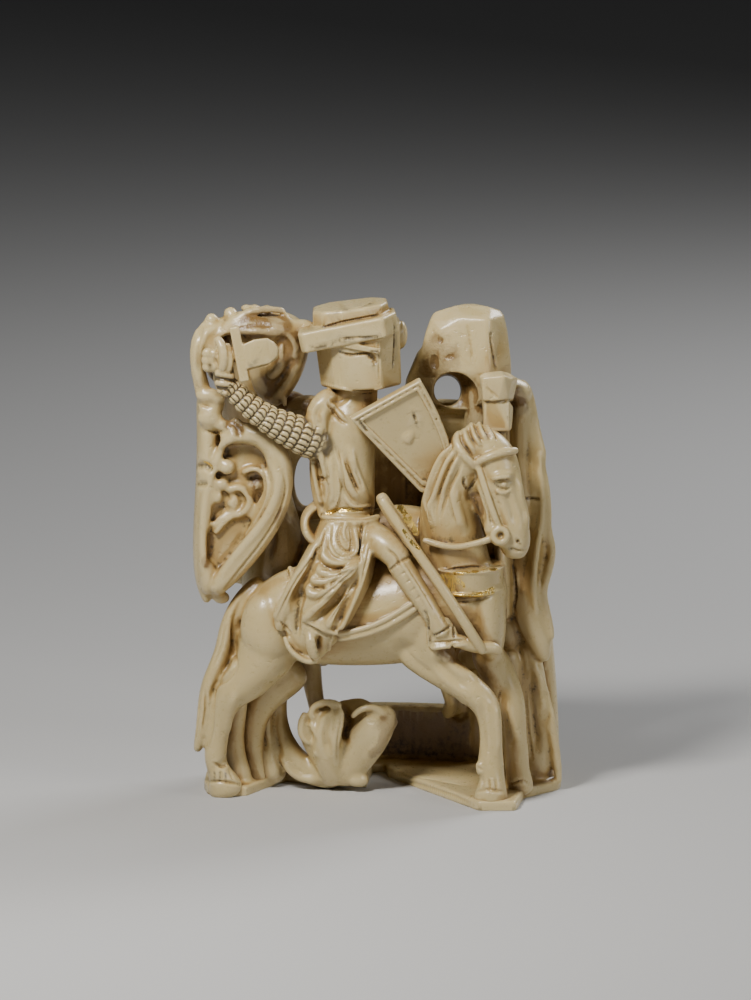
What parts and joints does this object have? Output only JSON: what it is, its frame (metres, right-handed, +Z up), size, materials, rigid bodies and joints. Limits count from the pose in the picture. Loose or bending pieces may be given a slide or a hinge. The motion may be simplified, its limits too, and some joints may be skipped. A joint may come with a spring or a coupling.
{
  "type": "medieval chess piece",
  "caption": "Carved ivory chess piece: a mounted knight with a great helm, raised sword and shield, riding through openwork foliage.",
  "frame": {"origin": "middle of the box around the piece, on the surface that it stands on", "axes": "+X the way the horse walks, +Y from the carved front to the plainer back, +Z up"},
  "size_m": [0.053, 0.034, 0.0722],
  "materials": {
    "walrus_ivory": "walrus ivory, worn smooth by handling, with a soft gloss, brown marbled core in the recesses and traces of gilding"
  },
  "bodies": {
    "root": {"chess_knight": "walrus_ivory"}
  },
  "joints": []
}
